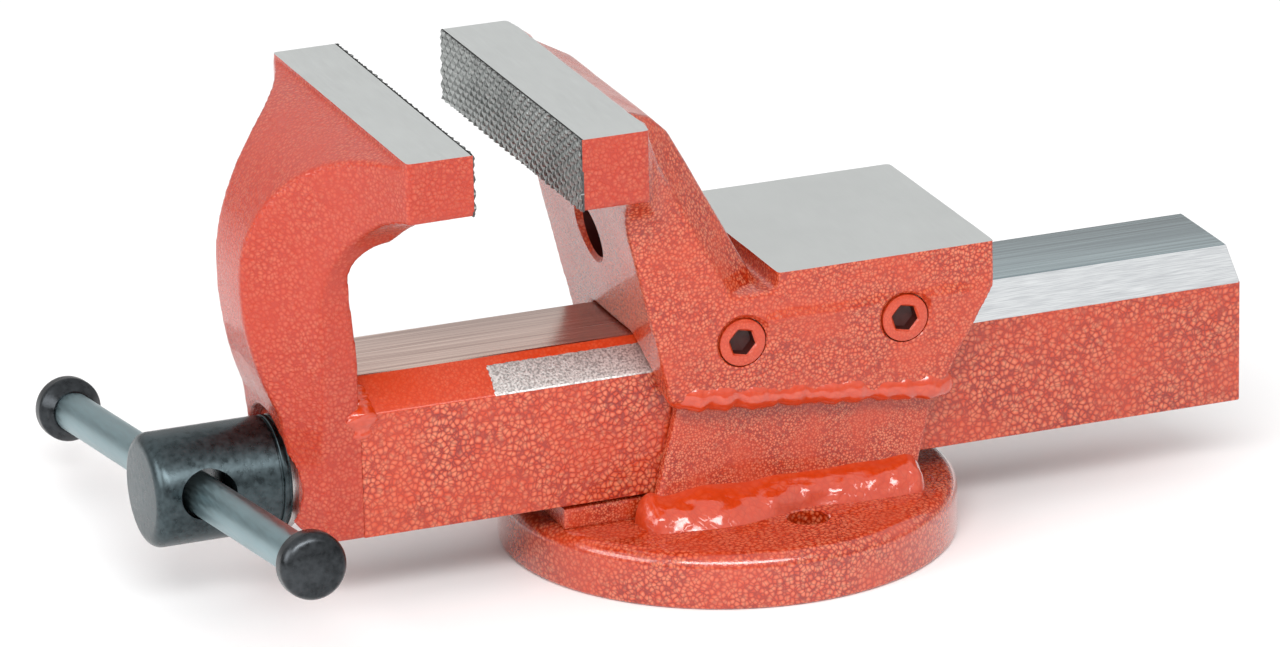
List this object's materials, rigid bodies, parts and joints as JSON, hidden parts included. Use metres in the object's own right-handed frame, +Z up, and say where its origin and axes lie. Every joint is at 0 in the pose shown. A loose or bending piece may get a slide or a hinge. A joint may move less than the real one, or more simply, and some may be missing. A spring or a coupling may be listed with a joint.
{
  "type": "bench vise",
  "caption": "Forged-steel bench vise with a fixed round base, a prismatic slide, serrated jaws, an anvil and a tommy-bar spindle.",
  "frame": {"origin": "centre of the base plate's underside, on the bench's surface", "axes": "+X towards the slide's free end (the handle is at -X), +Z up, Y across the vise, its plane of symmetry at Y = 0"},
  "size_m": [0.3557, 0.2458, 0.1549],
  "materials": {
    "red_paint": "glossy hammered enamel",
    "bright_steel": "ground",
    "black_steel": "black oxide, satin",
    "nut_iron": "machined"
  },
  "bodies": {
    "fixed_body": {"base_plate": "red_paint", "lower_housing": "red_paint", "fixed_jaw": "red_paint", "seam_welds": "red_paint", "base_welds": "red_paint", "spindle_nut": "nut_iron", "nut_screws": "black_steel", "guide_gib_left": "bright_steel", "guide_gib_right": "bright_steel", "gib_screws_left": "red_paint", "gib_screws_right": "red_paint"},
    "moving_jaw_body": {"moving_jaw": "red_paint", "slide_bar": "red_paint", "slide_welds": "red_paint", "thrust_washer": "bright_steel"},
    "spindle": {"spindle_screw": "bright_steel", "spindle_head": "black_steel", "head_pin": "black_steel", "retaining_collar": "bright_steel", "collar_pin": "black_steel"},
    "handle": {"handle_bar": "black_steel", "handle_knob_near": "black_steel", "handle_knob_far": "black_steel"}
  },
  "joints": [
    {"name": "jaw_slide", "type": "slide", "parent": "fixed_body", "child": "moving_jaw_body", "axis": [1, 0, 0], "range_m": [-0.115, 0.033]},
    {"name": "spindle_turn", "type": "hinge", "parent": "moving_jaw_body", "child": "spindle", "pos_m": [-0.149, 0, 0.0416], "axis": [1, 0, 0], "range_deg": [-8291, 2387]},
    {"name": "handle_slide", "type": "slide", "parent": "spindle", "child": "handle", "axis": [0, 0.9919, -0.1271], "range_m": [-0.1003, 0.0865]}
  ],
  "couplings": [
    {"joint": "spindle_turn", "follows": "jaw_slide", "rad_per_m": 1256.6}
  ]
}
